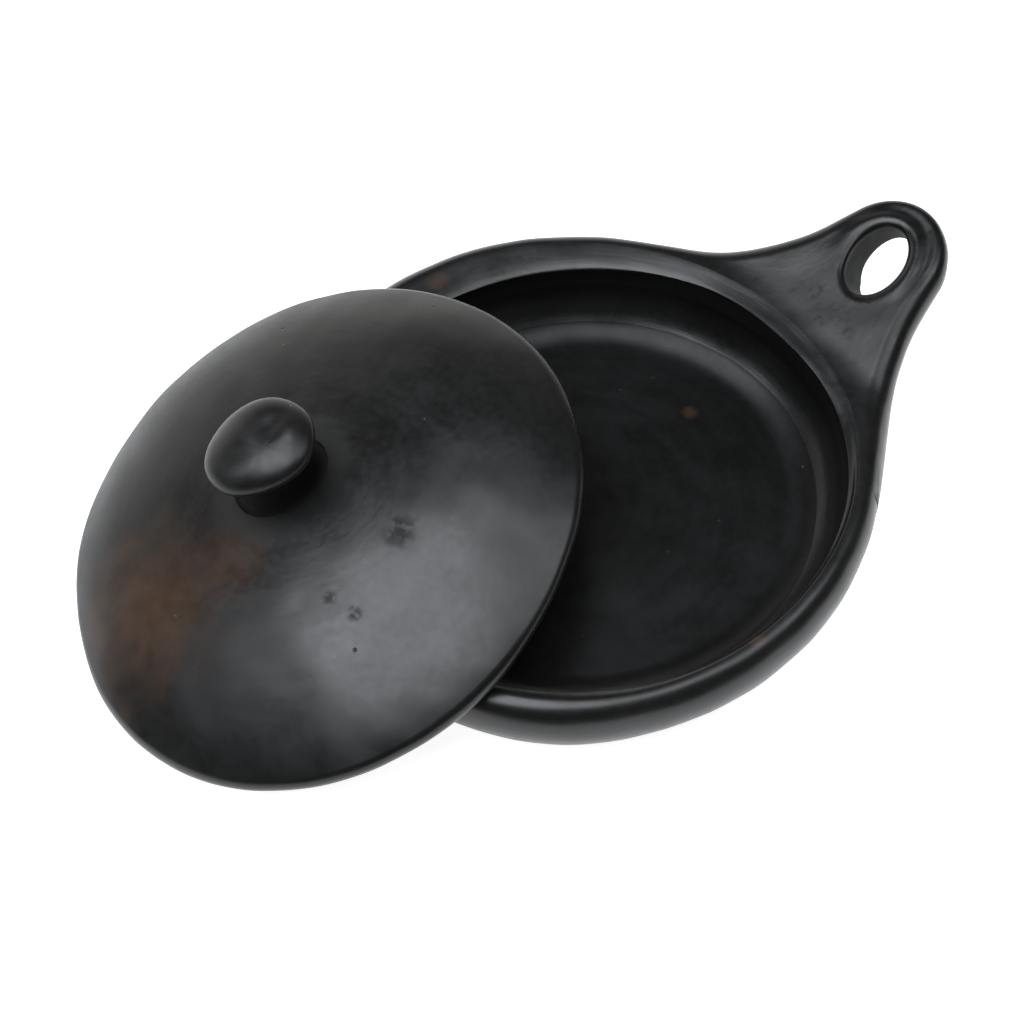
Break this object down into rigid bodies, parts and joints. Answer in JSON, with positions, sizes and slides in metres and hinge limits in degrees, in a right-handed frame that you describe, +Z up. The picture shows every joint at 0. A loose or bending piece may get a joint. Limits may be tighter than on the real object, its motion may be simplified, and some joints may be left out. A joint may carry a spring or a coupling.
{
  "type": "lidded clay pan",
  "caption": "Shallow round clay pan with a pierced lug handle and a loose domed lid with a mushroom knob, the lid leaning on the rim.",
  "frame": {"origin": "centre of the pan's flat base, on the surface it stands on", "axes": "+Z up; the lid leans off the pan towards -X and the handle points to the +X +Y corner"},
  "size_m": [0.3607, 0.2439, 0.0947],
  "materials": {
    "pan_clay": "burnished smoke-fired black clay, satin",
    "pan_inside_clay": "burnished smoke-fired black clay, duller than the outside",
    "lid_clay": "burnished smoke-fired black clay with a brown smoke blush, satin",
    "knob_clay": "burnished smoke-fired black clay, satin"
  },
  "bodies": {
    "pan": {"base_slab": "pan_inside_clay", "wall_coil": "pan_clay", "rim_coil": "pan_clay", "handle": "pan_clay"},
    "lid": {"lid_dome": "lid_clay", "lid_edge": "lid_clay", "knob_neck": "knob_clay", "knob_cap": "knob_clay"}
  },
  "joints": [
    {"name": "lid_lift", "type": "slide", "parent": "pan", "child": "lid", "axis": [0, 0, 1], "range_m": [0, 0.15]}
  ]
}
